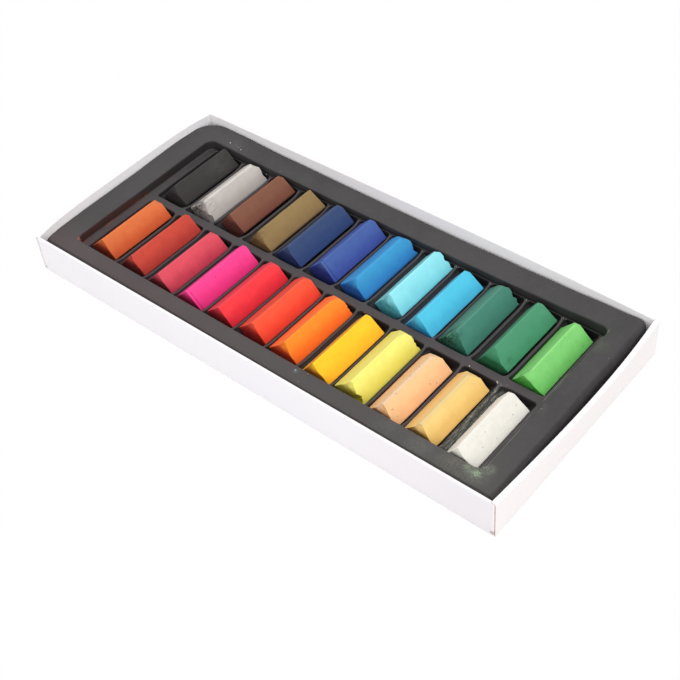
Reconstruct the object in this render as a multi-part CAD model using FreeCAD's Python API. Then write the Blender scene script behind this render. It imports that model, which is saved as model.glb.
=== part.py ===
import FreeCAD, Part
import math
import os
from FreeCAD import Vector

# An open card tray with a black vacuum formed insert and two rows of square
# pastels that lie edge up in V grooves. Millimetres, +Z up, x along the length,
# y from the front wall to the back wall, origin at the middle of the tray's
# underside.

# Pastels: the sizes that the grooves, the insert and the tray follow
pastel_side = 10.0
pastel_length = 32.8
pastel_edge_round = 0.8
seat_gap = 0.12
break_depth = 4.0
columns = 12

# Vacuum formed insert
sheet = 0.45
groove_floor = 1.25
groove_flank_share = 0.73
groove_wall = 1.65
groove_wall_draft = 0.3
groove_round = 0.8
groove_end_draft = 0.35
ridge_width = 1.15
ridge_round = 0.4
cell_spare = 4.5
cross_rib = 3.8
well_depth = 3.7
well_ledge = 2.8
well_draft = 0.5
well_corner = 3.0
well_edge_round = 0.7
well_foot_round = 0.7
end_border = 10.55
long_border = 10.09
deck_corner = 11.0
deck_edge_round = 1.3
skirt_lean = 1.3
insert_side_gap = 0.3
insert_left_gap = 0.3
insert_right_gap = 2.6
overrun = 5.0

# Card tray: one folded blank of white lined board
rim_above_deck = 3.7
board = 0.38
crease_round = 0.3
long_wall_air = 0.15
end_wall_air = 0.64
end_rim_spread = 0.5
rim_corner_gap = 0.1
inner_ply_lift = 0.1

# Walls pushed out by the insert: reach at the rim, skew towards one end, flatness
left_bow_reach = 2.9
left_bow_skew_share = 0.0
left_bow_power = 4
right_bow_reach = 2.1
right_bow_skew_share = 0.3
right_bow_power = 2
back_bow_reach = 1.25
back_bow_skew_share = 0.6
back_bow_power = 2
front_bow_reach = 0.0
front_bow_skew_share = 0.0
front_bow_power = 2

# Where along a bowed wall or a flap its section is set
wall_station_shares = (-1.0, -0.8, -0.5, 0.0, 0.5, 0.8, 1.0)
flap_station_shares = (0.0, 0.3, 0.65, 1.0)

# Tucked corner flaps of the card tray
flap_length = 27.0
flap_taper = 2.5
flap_bend = 0.9
flap_air = 0.13
flap_foot_gap = 2.0
flap_top_gap = 0.15
end_ply_setback = 0.15

# Each pastel by shares: its name, its length, its place between the ends of the
# cell, and how much of the break depth is off its front end and its far end
front_row_shares = [
    ("burnt_orange", 0.99, 0.58, 0.00, 0.15),
    ("red_brown", 1.00, 0.69, 0.00, 0.00),
    ("crimson", 0.99, 0.02, 0.00, 0.30),
    ("magenta", 1.02, 0.21, 0.10, 0.05),
    ("red", 0.99, 0.33, 0.00, 0.25),
    ("vermilion", 1.00, 0.93, 0.05, 0.35),
    ("orange", 1.00, 0.35, 0.00, 0.25),
    ("amber", 0.99, -0.47, 0.00, 0.15),
    ("lemon", 1.02, 0.32, 0.15, 0.25),
    ("peach", 1.00, -0.95, 0.25, 0.15),
    ("naples_yellow", 0.99, -0.55, 0.15, 0.20),
    ("white", 1.00, -0.97, 0.00, 0.10),
]
back_row_shares = [
    ("black", 1.01, 0.37, 0.00, 0.10),
    ("light_grey", 1.03, 0.69, 0.30, 0.20),
    ("brown", 0.98, 0.66, 0.00, 0.20),
    ("olive", 1.04, -0.04, 0.10, 0.05),
    ("navy", 1.02, 0.20, 0.00, 0.35),
    ("ultramarine", 0.99, 0.58, 0.00, 0.20),
    ("cobalt_blue", 1.03, 0.82, 0.20, 0.40),
    ("turquoise", 1.00, 0.70, 0.30, 0.20),
    ("sky_blue", 1.00, -0.86, 0.15, 0.05),
    ("dark_viridian", 1.03, 0.05, 0.30, 0.35),
    ("green", 0.98, 0.05, 0.45, 0.10),
    ("light_green", 0.98, -0.50, 0.60, 0.20),
]

# Insert, from the pastels outwards
groove_flank = groove_flank_share * pastel_side
column_pitch = 2 * (groove_flank + groove_wall_draft) + ridge_width
cell_length = pastel_length + cell_spare
ridge_height = groove_floor + groove_flank + groove_wall
deck_height = ridge_height + well_depth
well_foot_y = cell_length + cross_rib / 2
well_width = 2 * (well_foot_y + well_draft)
well_length = columns * column_pitch + 2 * well_ledge
deck_half_x = well_length / 2 + end_border
deck_half_y = well_width / 2 + long_border
deck_wall = deck_height - board
insert_x = (insert_left_gap - insert_right_gap) / 2
pastel_z = groove_floor + (pastel_side / 2 + seat_gap) * math.sqrt(2)

# Card tray, round the insert
inner_half_x = deck_half_x - skirt_lean + (insert_left_gap + insert_right_gap) / 2
inner_half_y = deck_half_y + insert_side_gap
long_wall_foot = 2 * board + long_wall_air
end_wall_foot = 2 * board + end_wall_air
half_length = inner_half_x + end_wall_foot
half_width = inner_half_y + long_wall_foot
tray_length = 2 * half_length
tray_width = 2 * half_width
tray_height = deck_height + rim_above_deck
rim_end_x = inner_half_x - end_rim_spread - rim_corner_gap
end_ply_y = half_width - end_ply_setback
left_bow = (left_bow_reach, left_bow_skew_share, left_bow_power)
right_bow = (right_bow_reach, right_bow_skew_share, right_bow_power)
back_bow = (back_bow_reach, back_bow_skew_share, back_bow_power)
front_bow = (front_bow_reach, front_bow_skew_share, front_bow_power)


def fillet_points(before, corner, after, radius):
    """Start, middle and end of the arc that rounds one corner of an outline."""
    back = (before - corner).normalize()
    ahead = (after - corner).normalize()
    half_angle = back.getAngle(ahead) / 2
    reach = radius / math.tan(half_angle)
    middle_line = (back + ahead).normalize()
    centre = corner + middle_line * (radius / math.sin(half_angle))
    return corner + back * reach, centre - middle_line * radius, corner + ahead * reach


def outline(corners, place):
    """Closed wire through (u, w, radius) corners, each put in space by place."""
    flat = [Vector(u, w, 0) for u, w, radius in corners]
    edges = []
    pen = None
    first = None
    for index, (u, w, radius) in enumerate(corners):
        here = flat[index]
        if radius > 0:
            start, middle, end = fillet_points(
                flat[index - 1], here, flat[(index + 1) % len(flat)], radius)
        else:
            start, middle, end = here, None, here
        if pen is None:
            first = start
        elif (start - pen).Length > 0:
            edges.append(Part.makeLine(place(pen), place(start)))
        if middle is not None:
            edges.append(Part.Arc(place(start), place(middle), place(end)).toShape())
        pen = end
    edges.append(Part.makeLine(place(pen), place(first)))
    return Part.Wire(edges)


def loft(wires, ruled=False):
    return Part.makeLoft(wires, True, ruled)


def turned(shape, angle):
    copy = shape.copy()
    copy.rotate(Vector(0, 0, 0), Vector(0, 0, 1), angle)
    return copy


def mirrored_x(shape):
    return shape.mirror(Vector(0, 0, 0), Vector(1, 0, 0))


def mirrored_y(shape):
    return shape.mirror(Vector(0, 0, 0), Vector(0, 1, 0))


# Card tray

def lean_at(share, bow):
    """How far the rim stands out at a place along a wall, from -1 to 1."""
    reach, skew_share, power = bow
    return reach * (1 - abs(share) ** power) * (1 + skew_share * share)


def rolled_wall(half_span, face, foot, spread, bow, direction=1):
    """Double wall rolled over at the rim, along x, its outer face at y = face."""
    wires = []
    for share in wall_station_shares:
        lean = lean_at(share * direction, bow)

        def place(point, along=share * half_span, out=lean):
            return Vector(along, point.x + out * point.y / tray_height, point.y)

        rim = face - foot - spread
        corners = [
            (face - board, 0, 0),
            (face, 0, crease_round),
            (face, tray_height, crease_round),
            (rim, tray_height, crease_round),
            (face - foot, board + inner_ply_lift, 0),
            (face - foot + board, board + inner_ply_lift, 0),
            (rim + board, tray_height - board, 0),
            (face - board, tray_height - board, 0),
        ]
        wires.append(outline(corners, place))
    if bow[0] == 0:
        return loft([wires[0], wires[-1]], ruled=True)
    return loft(wires)


def corner_flap(bow, end):
    """Flap at the front right corner: end of the front wall, bend and tongue."""
    low = board + flap_foot_gap
    high = tray_height - board - flap_top_gap
    out = half_length - board - flap_air
    turn_x = out - flap_bend
    turn_y = half_width - flap_bend
    height = high - low
    diagonal = math.sqrt(0.5)

    def bent(radius):
        return Part.Arc(
            Vector(turn_x, -turn_y - radius, low),
            Vector(turn_x + radius * diagonal, -turn_y - radius * diagonal, low),
            Vector(turn_x + radius, -turn_y, low)).toShape()

    outer = bent(flap_bend)
    inner = bent(flap_bend - board)
    ends = [Part.makeLine(outer.Vertexes[i].Point, inner.Vertexes[i].Point) for i in (0, 1)]
    bend = Part.Face(Part.Wire([outer, ends[1], inner, ends[0]])).extrude(Vector(0, 0, height))
    stub_start = rim_end_x - board
    stub = Part.makeBox(turn_x - stub_start, board, height,
                        Vector(stub_start, -half_width, low))

    wires = []
    for share in flap_station_shares:
        y = -turn_y + share * flap_length
        lean = lean_at(end * y / -turn_y, bow)
        trim = flap_taper * share

        def place(point, along=y, push=lean):
            return Vector(point.x + push * point.y / tray_height, along, point.y)

        corners = [
            (out - board, low + trim, 0),
            (out, low + trim, 0),
            (out, high - trim, 0),
            (out - board, high - trim, 0),
        ]
        wires.append(outline(corners, place))
    return stub.fuse([bend, loft(wires)])


def card_tray():
    base = Part.makeBox(tray_length - 2 * crease_round, tray_width - 2 * crease_round, board,
                        Vector(crease_round - half_length, crease_round - half_width, 0))
    back = rolled_wall(rim_end_x, half_width, long_wall_foot, 0, back_bow)
    front = turned(rolled_wall(rim_end_x, half_width, long_wall_foot, 0, front_bow), 180)
    right = turned(rolled_wall(end_ply_y, half_length, end_wall_foot, end_rim_spread,
                               right_bow, direction=-1), -90)
    left = turned(rolled_wall(end_ply_y, half_length, end_wall_foot, end_rim_spread,
                              left_bow), 90)
    flaps = [
        corner_flap(right_bow, -1),
        mirrored_y(corner_flap(right_bow, 1)),
        mirrored_x(corner_flap(left_bow, -1)),
        mirrored_x(mirrored_y(corner_flap(left_bow, 1))),
    ]
    return base.fuse([front, back, left, right] + flaps).removeSplitter()


# Insert

def tapered_block(low, high, bottom, top, corner):
    """Block whose sides lean, from half sizes low at the bottom to high at the top."""
    slabs = []
    for axis, depth in ((0, 1), (1, 0)):
        reach = 2 * max(low[depth], high[depth])
        spots = []
        for half, z in ((-low[axis], bottom), (low[axis], bottom),
                        (high[axis], top), (-high[axis], top)):
            spot = Vector(0, 0, z)
            spot[axis] = half
            spot[depth] = -reach / 2
            spots.append(spot)
        along = Vector(0, 0, 0)
        along[depth] = reach
        slabs.append(Part.Face(Part.makePolygon(spots + spots[:1])).extrude(along))
    block = slabs[0].common(slabs[1])
    upright = [edge for edge in block.Edges if edge.BoundBox.ZLength > (top - bottom) / 2]
    block = block.makeFillet(corner, upright)
    block.translate(Vector(insert_x, 0, 0))
    return block


def skirt_block(inset):
    """Block under the deck, its sides leaning in to the foot and set in by inset."""
    below = overrun if inset else 0
    sizes = []
    for z in (board - below, deck_height - inset):
        lean = skirt_lean * (deck_height - z) / deck_wall
        sizes.append((deck_half_x - inset - lean, deck_half_y - inset - lean))
    top = deck_height - inset
    block = tapered_block(sizes[0], sizes[1], board - below, top, deck_corner - inset)
    rim = [edge for edge in block.Edges if edge.BoundBox.ZMin > top - sheet]
    return block.makeFillet(deck_edge_round - inset, rim)


def well_pocket(inset):
    """Drafted recess down to the tops of the ridges, with a rounded foot."""
    slope = well_draft / (deck_height - ridge_height)
    floor = ridge_height - inset
    top = deck_height + overrun
    rise = slope * (top - floor)
    foot_x = well_length / 2 + inset * (1 - slope) - well_draft
    foot_y = well_width / 2 + inset * (1 - slope) - well_draft
    pocket = tapered_block((foot_x, foot_y), (foot_x + rise, foot_y + rise), floor, top,
                           well_corner + inset)
    if inset:
        return pocket
    foot = [edge for edge in pocket.Edges if edge.BoundBox.ZMax < floor + sheet]
    return pocket.makeFillet(well_foot_round, foot)


def crossing(first, second):
    """Point where two lines meet, each given as a point and a direction."""
    (p, q), (r, t) = first, second
    turn = q.x * t.y - q.y * t.x
    reach = ((r.x - p.x) * t.y - (r.y - p.y) * t.x) / turn
    return p + q * reach


def groove_cut(inset, centre_x, centre_y, side):
    """One V groove with steep upper walls and drafted ends, down from the ridges."""
    floor = ridge_height - inset
    lid = floor + well_foot_round + inset
    upper = ridge_height - groove_floor - groove_flank
    wall_slope = Vector(groove_wall_draft, upper, 0).normalize()
    flank_slope = Vector(1, 1, 0).normalize()
    root = Vector(0, groove_floor - inset * math.sqrt(2), 0)
    knee_out = Vector(groove_flank + inset * wall_slope.y,
                      groove_floor + groove_flank - inset * wall_slope.x, 0)
    flank = (root, flank_slope)
    wall = (knee_out, wall_slope)
    knee = crossing(flank, wall)
    lip = crossing(wall, (Vector(0, floor, 0), Vector(1, 0, 0)))
    lip_round = max(ridge_round - inset, 0)
    root_start, root_middle, root_end = fillet_points(
        Vector(-knee.x, knee.y, 0), root, knee, groove_round + inset)
    path = [("arc", root_start, root_middle, root_end), ("line", root_end, knee)]
    if lip_round > 0:
        start, middle, end = fillet_points(knee, lip, lip + Vector(overrun, 0, 0), lip_round)
        path += [("line", knee, start), ("arc", start, middle, end)]
    else:
        end = lip
        path.append(("line", knee, lip))
    path.append(("line", end, Vector(end.x, lid, 0)))
    mirrored = [(kind,) + tuple(Vector(-point.x, point.y, 0) for point in points)
                for kind, *points in path[1:]]
    path += mirrored
    path.append(("line", Vector(end.x, lid, 0), Vector(-end.x, lid, 0)))

    def across(point):
        return Vector(centre_x + point.x, centre_y - cell_length, point.y)

    edges = []
    for kind, *points in path:
        spots = [across(point) for point in points]
        edges.append(Part.makeLine(*spots) if kind == "line" else Part.Arc(*spots).toShape())
    trough = Part.Face(Part.Wire(Part.__sortEdges__(edges))).extrude(
        Vector(0, 2 * cell_length, 0))

    half = cell_length / 2 + inset
    low = root.y - sheet
    drift = groove_end_draft * (floor - low) / (ridge_height - groove_floor)
    rib_lip = ridge_round if lip_round > 0 else 0
    window = [(-half, lid, 0), (-half, floor, 0), (drift - half, low, 0),
              (half - drift, low, 0), (half, floor - rib_lip, 0),
              (half + rib_lip, floor, 0), (half + rib_lip, lid, 0)]
    wire = outline(window, lambda point: Vector(centre_x - end.x - overrun,
                                                centre_y - side * point.x, point.y))
    slab = Part.Face(wire).extrude(Vector(2 * (end.x + overrun), 0, 0))
    return trough.common(slab)


def cell_centres():
    """Column, row sign and middle of each cell."""
    first = insert_x - column_pitch * (columns - 1) / 2
    row_y = (cross_rib + cell_length) / 2
    return [(column, side, first + column * column_pitch, side * row_y)
            for side in (-1, 1) for column in range(columns)]


def formed_surface(inset):
    """Solid that lies under the sheet's upper face, set in by inset."""
    form = skirt_block(inset).cut(well_pocket(inset))
    top = deck_height - inset
    lip = [edge for edge in form.Edges
           if abs(edge.BoundBox.ZMin - top) < sheet / 4
           and abs(edge.BoundBox.ZMax - top) < sheet / 4
           and abs(edge.BoundBox.YMin) < (well_width / 2 + deck_half_y) / 2
           and abs(edge.BoundBox.YMax) < (well_width / 2 + deck_half_y) / 2
           and abs(edge.CenterOfMass.x - insert_x) < (well_length / 2 + deck_half_x) / 2]
    form = form.makeFillet(well_edge_round - inset / 2, lip)
    return form.cut([groove_cut(inset, x, y, side) for _, side, x, y in cell_centres()])


def insert():
    return formed_surface(0).cut(formed_surface(sheet))


# Pastels

def pastel(x, y, length, front_break, far_break):
    """Square stick lying edge up, with a slanted break where an end has lost some."""
    half = pastel_side / 2
    corners = [(-half, -half, pastel_edge_round), (half, -half, pastel_edge_round),
               (half, half, pastel_edge_round), (-half, half, pastel_edge_round)]
    wire = outline(corners, lambda point: Vector(point.x, -length / 2, point.y))
    stick = Part.Face(wire).extrude(Vector(0, length, 0))
    side = half + overrun
    for end, share in ((-1, front_break), (1, far_break)):
        if share > 0:
            tip = end * length / 2
            start = end * (length / 2 - share * break_depth)
            beyond = end * (length / 2 + overrun)
            chip = Part.makePolygon([
                Vector(-side, start, half),
                Vector(-side, tip, -half * share),
                Vector(-side, beyond, -half * share),
                Vector(-side, beyond, side),
                Vector(-side, start, side),
                Vector(-side, start, half),
            ])
            stick = stick.cut(Part.Face(chip).extrude(Vector(2 * side, 0, 0)))
    stick.rotate(Vector(0, 0, 0), Vector(0, 1, 0), 45)
    stick.translate(Vector(x, y, pastel_z))
    return stick


def pastels():
    named = {}
    for column, side, x, y in cell_centres():
        shares = front_row_shares if side < 0 else back_row_shares
        name, length_share, place_share, front_break, far_break = shares[column]
        length = pastel_length * length_share
        room = (cell_length - length) / 2 - groove_end_draft - seat_gap
        named["pastel_" + name] = pastel(x, y + place_share * room, length,
                                         front_break, far_break)
    return named


def main():
    nodes = {"card_tray": card_tray(), "insert": insert()}
    nodes.update(pastels())
    os.makedirs("parts", exist_ok=True)
    for name, shape in nodes.items():
        if shape.ShapeType != "Solid" and len(shape.Solids) == 1:
            shape = shape.Solids[0]
        print(name, "valid", shape.isValid(), "solids", len(shape.Solids),
              "volume", round(shape.Volume, 2))
        shape.exportStep("parts/" + name + ".step")


main()
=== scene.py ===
import math
import random

import bmesh
import bpy
from mathutils import Matrix, Vector, geometry, noise


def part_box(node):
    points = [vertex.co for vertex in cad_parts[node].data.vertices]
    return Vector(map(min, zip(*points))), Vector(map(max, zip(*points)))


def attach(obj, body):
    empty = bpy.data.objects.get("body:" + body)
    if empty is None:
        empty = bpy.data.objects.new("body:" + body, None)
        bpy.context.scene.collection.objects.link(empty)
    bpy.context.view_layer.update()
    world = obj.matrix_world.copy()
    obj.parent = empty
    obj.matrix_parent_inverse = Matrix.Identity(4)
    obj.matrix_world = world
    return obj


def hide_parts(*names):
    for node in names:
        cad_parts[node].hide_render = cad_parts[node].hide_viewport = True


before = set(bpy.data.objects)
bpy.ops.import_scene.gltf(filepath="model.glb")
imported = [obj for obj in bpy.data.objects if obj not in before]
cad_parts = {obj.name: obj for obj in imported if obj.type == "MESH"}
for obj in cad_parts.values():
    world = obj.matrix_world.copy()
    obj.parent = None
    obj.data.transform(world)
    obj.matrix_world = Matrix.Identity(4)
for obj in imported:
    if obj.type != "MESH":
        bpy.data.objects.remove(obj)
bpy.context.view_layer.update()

MM = 0.001
ROOT_HALF = math.sqrt(0.5)

# Colours as they look in the open box, in display values from 0 to 255
FRONT_ROW = {
    "burnt_orange": (225, 120, 70),
    "red_brown": (202, 77, 62),
    "crimson": (222, 84, 99),
    "magenta": (253, 72, 150),
    "red": (253, 66, 74),
    "vermilion": (254, 92, 62),
    "orange": (255, 148, 47),
    "amber": (255, 203, 46),
    "lemon": (254, 248, 130),
    "peach": (252, 204, 150),
    "naples_yellow": (250, 210, 130),
    "white": (243, 239, 229),
}
BACK_ROW = {
    "black": (62, 59, 59),
    "light_grey": (203, 197, 192),
    "brown": (132, 88, 70),
    "olive": (148, 123, 82),
    "navy": (59, 78, 118),
    "ultramarine": (75, 101, 165),
    "cobalt_blue": (64, 157, 210),
    "turquoise": (148, 231, 240),
    "sky_blue": (83, 199, 231),
    "dark_viridian": (74, 136, 118),
    "green": (78, 149, 113),
    "light_green": (134, 214, 121),
}
COLOURS = {**FRONT_ROW, **BACK_ROW}


def linear(value):
    c = value / 255
    return c / 12.92 if c <= 0.04045 else ((c + 0.055) / 1.055) ** 2.4


def colour(red, green, blue):
    return (linear(red), linear(green), linear(blue), 1.0)


def shade(tone, factor, pull=None, amount=0.0):
    """A tone made lighter or darker, and pulled towards another tone."""
    other = pull or tone
    return tuple(min(1.0, (a * (1 - amount) + b * amount) * factor)
                 for a, b in zip(tone[:3], other[:3])) + (1.0,)


def painted_shade_tone(tone, factor):
    """A tone made darker and fuller, for painted shade low on a pastel and on its cut ends."""
    top = max(tone[:3])
    return tuple(factor * value * (value / top) ** 0.35 for value in tone[:3]) + (1.0,)


# Finishes

class Flow:
    """A number that runs along a wire of one finish."""

    def __init__(self, finish, socket):
        self.finish = finish
        self.socket = socket

    def maths(self, operation, first, second):
        return self.finish.node("ShaderNodeMath", {"operation": operation}, {0: first, 1: second})

    def __add__(self, other):
        return self.maths("ADD", self, other)

    def __radd__(self, other):
        return self.maths("ADD", other, self)

    def __sub__(self, other):
        return self.maths("SUBTRACT", self, other)

    def __rsub__(self, other):
        return self.maths("SUBTRACT", other, self)

    def __mul__(self, other):
        return self.maths("MULTIPLY", self, other)

    def __rmul__(self, other):
        return self.maths("MULTIPLY", other, self)

    def __pow__(self, other):
        return self.maths("POWER", self, other)

    def __abs__(self):
        return self.maths("ABSOLUTE", self, 0.0)

    def least(self, other):
        return self.maths("MINIMUM", self, other)

    def most(self, other):
        return self.maths("MAXIMUM", self, other)

    def rise(self, low, high):
        """0 below low and 1 above high, with a soft step between them."""
        return self.finish.node(
            "ShaderNodeMapRange", {"interpolation_type": "SMOOTHSTEP"},
            {"Value": self, "From Min": low, "From Max": high, "To Min": 0.0, "To Max": 1.0})

    def fall(self, low, high):
        """1 below low and 0 above high, with a soft step between them."""
        return 1.0 - self.rise(low, high)


class Finish:
    """One material: its wiring, and its body colour as the coats go on."""

    def __init__(self, name):
        self.material = bpy.data.materials.new(name)
        self.material.use_nodes = True
        self.tree = self.material.node_tree
        self.tree.nodes.clear()
        self.output = self.tree.nodes.new("ShaderNodeOutputMaterial")
        self.place = self.node("ShaderNodeTexCoord", {}, {}, "Object")
        self.body = None

    def node(self, kind, settings, sockets, out=0):
        """One node with its settings and what its sockets take. Gives one output."""
        made = self.tree.nodes.new(kind)
        for key, value in settings.items():
            setattr(made, key, value)
        for key, value in sockets.items():
            if isinstance(value, Flow):
                self.tree.links.new(value.socket, made.inputs[key])
            else:
                made.inputs[key].default_value = value
        return Flow(self, made.outputs[out])

    def across(self, axis):
        """The place along one axis in millimetres."""
        return self.node("ShaderNodeSeparateXYZ", {}, {0: self.place}, axis) * 1000.0

    def stretched(self, x, y, z):
        """Places scaled by their own factor along each axis, for streaks."""
        return self.node("ShaderNodeVectorMath", {"operation": "MULTIPLY"},
                         {0: self.place, 1: (x, y, z)})

    def noise(self, scale, detail, roughness, seed, vector=None):
        return self.node("ShaderNodeTexNoise", {"noise_dimensions": "4D"},
                         {"Vector": vector or self.place, "W": seed, "Scale": scale,
                          "Detail": detail, "Roughness": roughness}, "Fac")

    def streaks(self, stretch, detail, roughness, seed):
        return self.noise(1.0, detail, roughness, seed, self.stretched(*stretch))

    def cells(self, scale, seed, out):
        return self.node("ShaderNodeTexVoronoi", {"voronoi_dimensions": "4D"},
                         {"Vector": self.place, "W": seed, "Scale": scale}, out)

    def specks(self, scale, size, share, seed):
        """Round specks in a few of the cells: 1 in a speck, 0 elsewhere."""
        pick = self.node("ShaderNodeSeparateColor", {}, {0: self.cells(scale, seed, "Color")}, 0)
        near = self.cells(scale, seed, "Distance").fall(size * 0.55, size)
        return near * pick.rise(1.0 - share - 0.01, 1.0 - share)

    def attribute(self, name):
        return self.node("ShaderNodeAttribute", {"attribute_name": name}, {}, "Fac")

    def mix(self, share, first, second):
        return self.node("ShaderNodeMix", {"data_type": "RGBA"},
                         {"Factor": share, 6: first, 7: second}, 2)

    def coat(self, share, tone):
        """One more colour over the body, as far as its share says."""
        self.body = self.mix(share, self.body, tone)

    def bump(self, height, strength, distance):
        return self.node("ShaderNodeBump", {},
                         {"Strength": strength, "Distance": distance, "Height": height})

    def surface(self, sockets):
        shader = self.node("ShaderNodeBsdfPrincipled", {}, {"Base Color": self.body, **sockets})
        self.tree.links.new(shader.socket, self.output.inputs["Surface"])
        return self.material


# Heights over the table, in millimetres, between which the painted shade on a pastel's faces
# and its cut ends fades, from their low tone to their plain one
FACE_SHADE_FADE = (8.4, 14.4)
END_SHADE_FADE = (10.6, 14.2)


def chalk(name, tones, seed, dirt_share, pits_share):
    """Dry pressed pigment: grain, draw lines, worn ridge, pits, a neighbour's dust, painted
    shade.
    """
    finish = Finish(name)
    tone = tones["face"]
    height = finish.across(2)
    cloudy = finish.noise(260.0, 4.0, 0.6, seed)
    grain = finish.noise(3200.0, 3.0, 0.6, seed + 3)
    drawn = finish.streaks((1500.0, 60.0, 1500.0), 4.0, 0.65, seed + 7)
    finish.body = finish.mix(cloudy.rise(0.3, 0.72), shade(tone, 0.96), shade(tone, 1.04))
    # Painted shade: the left faces, turned away from the light, in their own tone, and the faces
    # darker low down towards the table
    finish.coat(finish.attribute("left_face") * 0.85, tones["left"])
    finish.coat((height + (cloudy - 0.5) * 2.0).fall(*FACE_SHADE_FADE) * 0.75, tones["low"])
    finish.coat(grain.rise(0.35, 0.7) * 0.16, shade(tone, 0.78))
    finish.coat(drawn.rise(0.55, 0.75) * 0.12, shade(tone, 1.18, (1, 1, 1), 0.06))
    crumbly = finish.noise(900.0, 3.0, 0.6, seed + 11) - 0.5
    ragged = (finish.attribute("worn") + crumbly * 0.7).rise(0.35, 0.75)
    finish.coat(ragged * 0.6, tones["ridge"])
    # Painted shade on the cut ends, deepest low down, with streaks of the low tone
    cut_end = finish.attribute("cut_end")
    torn = finish.streaks((1400.0, 300.0, 500.0), 4.0, 0.7, seed + 41)
    finish.coat(cut_end * (0.88 - height.rise(*END_SHADE_FADE) * 0.6), painted_shade_tone(tones["low"], 0.54))
    finish.coat(cut_end * torn.rise(0.5, 0.66) * 0.3, tones["low"])
    streaky = finish.streaks((700.0, 260.0, 700.0), 5.0, 0.7, seed + 17).rise(0.4, 0.58)
    finish.coat((finish.attribute("smudge") * streaky).least(0.9), tones["dirt"])
    finish.coat(finish.specks(700.0, 0.13, dirt_share, seed + 21) * 0.7, tones["dirt"])
    # Pits: painted shade in small hollows, a much darker copy of the stick's tone, also dented in
    # the bump
    pits = finish.specks(900.0, 0.34, pits_share, seed + 27)
    finish.coat(pits * 0.7, shade(tone, 0.42))
    relief = grain * 0.35 + drawn * 0.35 + cloudy * 0.3 - pits * 1.2
    rough = finish.noise(1300.0, 4.0, 0.7, seed + 31)
    rough = rough * (finish.attribute("broken") * 2.0 + ragged * 0.6)
    return finish.surface({
        "Roughness": 0.86 + cloudy * 0.1,
        "Specular IOR Level": 0.14,
        "Sheen Weight": 0.04,
        "Sheen Roughness": 0.6,
        "Normal": finish.bump(relief + rough, 0.5, 0.00015),
    })


# Powder on the deck and in the well: (place along x and y, reach), colour, strength
POWDER_SPOTS = (
    ((98.4, -41.0, 8.0), (138, 146, 128), 0.5),
    ((99.0, -41.6, 2.6), (176, 196, 164), 0.95),
    ((95.4, -41.6, 3.0), (144, 158, 132), 0.6),
    ((101.5, -38.0, 3.4), (140, 152, 132), 0.55),
    ((90.0, -43.0, 9.0), (130, 127, 112), 0.4),
    ((76.0, -43.5, 11.0), (120, 122, 114), 0.3),
    ((62.0, -43.0, 9.0), (112, 116, 110), 0.3),
    ((98.5, 37.5, 7.0), (48, 62, 44), 0.45),
    ((100.6, 30.0, 6.0), (92, 110, 82), 0.4),
    ((100.0, -6.0, 5.0), (104, 108, 100), 0.35),
    ((19.6, -42.0, 1.6), (128, 140, 146), 0.6),
    ((-90.0, 42.2, 6.0), (118, 112, 112), 0.25),
)


def distance(x, y, at_x, at_y):
    return ((x - at_x) * (x - at_x) + (y - at_y) * (y - at_y)) ** 0.5


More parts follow.
